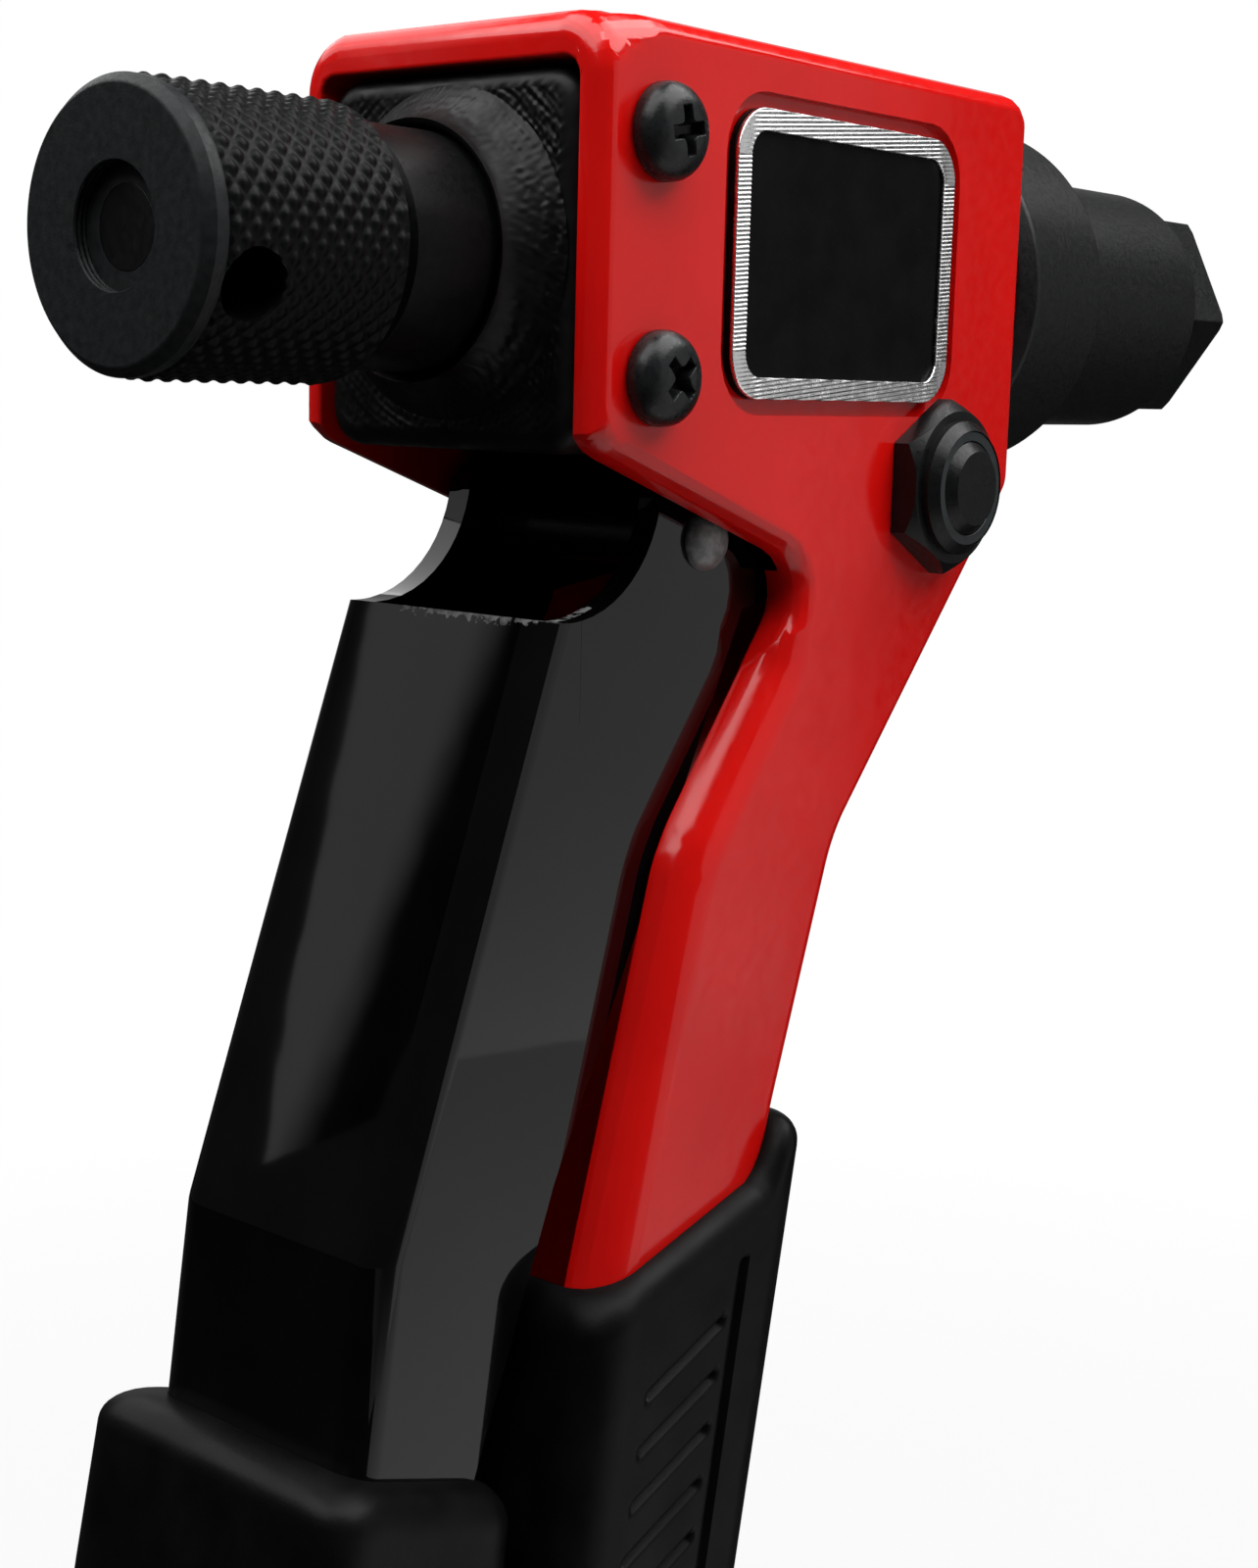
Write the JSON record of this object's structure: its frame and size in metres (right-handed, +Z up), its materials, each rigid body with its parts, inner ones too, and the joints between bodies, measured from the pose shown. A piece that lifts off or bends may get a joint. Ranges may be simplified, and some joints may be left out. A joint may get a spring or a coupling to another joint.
{
  "type": "threaded insert hand riveter",
  "caption": "Two-handed hand riveter for threaded inserts: cast red head and arm, black pressed lever, draw sleeve with knurled knob, nose tube and screwed mandrel.",
  "frame": {"origin": "middle of the nosepiece's front face, on the spindle's axis", "axes": "+X along the spindle out of the nose, +Z up and away from the handles, +Y to the side of the bolt's head"},
  "size_m": [0.1604, 0.0404, 0.2244],
  "materials": {
    "red_paint": "gloss paint on a casting",
    "black_paint": "gloss black paint on pressed steel",
    "black_casting": "rough black casting",
    "black_steel": "blackened, satin",
    "bare_steel": "ground",
    "plate_aluminium": "bright ribbed border round a black panel",
    "grip_rubber": "satin moulded",
    "dark_plastic": "satin"
  },
  "bodies": {
    "head": {"housing": "red_paint", "guide_block": "black_casting", "block_screws": "black_steel", "side_plate": "plate_aluminium", "pivot_bolt": "black_steel", "pivot_nut": "black_steel", "nut_insert": "dark_plastic", "arm_grip": "grip_rubber"},
    "lever": {"lever": "black_paint", "cross_rivet": "black_steel", "drive_pins": "bare_steel", "lever_grip": "grip_rubber"},
    "sleeve": {"draw_sleeve": "black_steel", "thrust_washer": "bare_steel"},
    "spindle": {"spindle": "bare_steel", "knob": "black_steel", "mandrel_coupling": "black_steel", "mandrel": "bare_steel"},
    "nose": {"nose_tube": "black_steel", "nosepiece": "black_steel"},
    "collar": {"lock_collar": "black_steel"}
  },
  "joints": [
    {"name": "lever_squeeze", "type": "hinge", "parent": "head", "child": "lever", "pos_m": [-0.0645, 0, -0.01724], "axis": [0, 1, 0], "range_deg": [0, 15]},
    {"name": "sleeve_draw", "type": "slide", "parent": "head", "child": "sleeve", "axis": [1, 0, 0], "range_m": [0, 0.0046]},
    {"name": "knob_spin", "type": "hinge", "parent": "sleeve", "child": "spindle", "pos_m": [-0.1, 0, 0], "axis": [1, 0, 0], "continuous": true},
    {"name": "nose_turn", "type": "hinge", "parent": "head", "child": "nose", "pos_m": [-0.03, 0, 0], "axis": [1, 0, 0], "continuous": true},
    {"name": "collar_turn", "type": "hinge", "parent": "head", "child": "collar", "pos_m": [-0.043, 0, 0], "axis": [1, 0, 0], "continuous": true}
  ],
  "couplings": [
    {"joint": "sleeve_draw", "follows": "lever_squeeze", "m_per_rad": 0.01723}
  ]
}
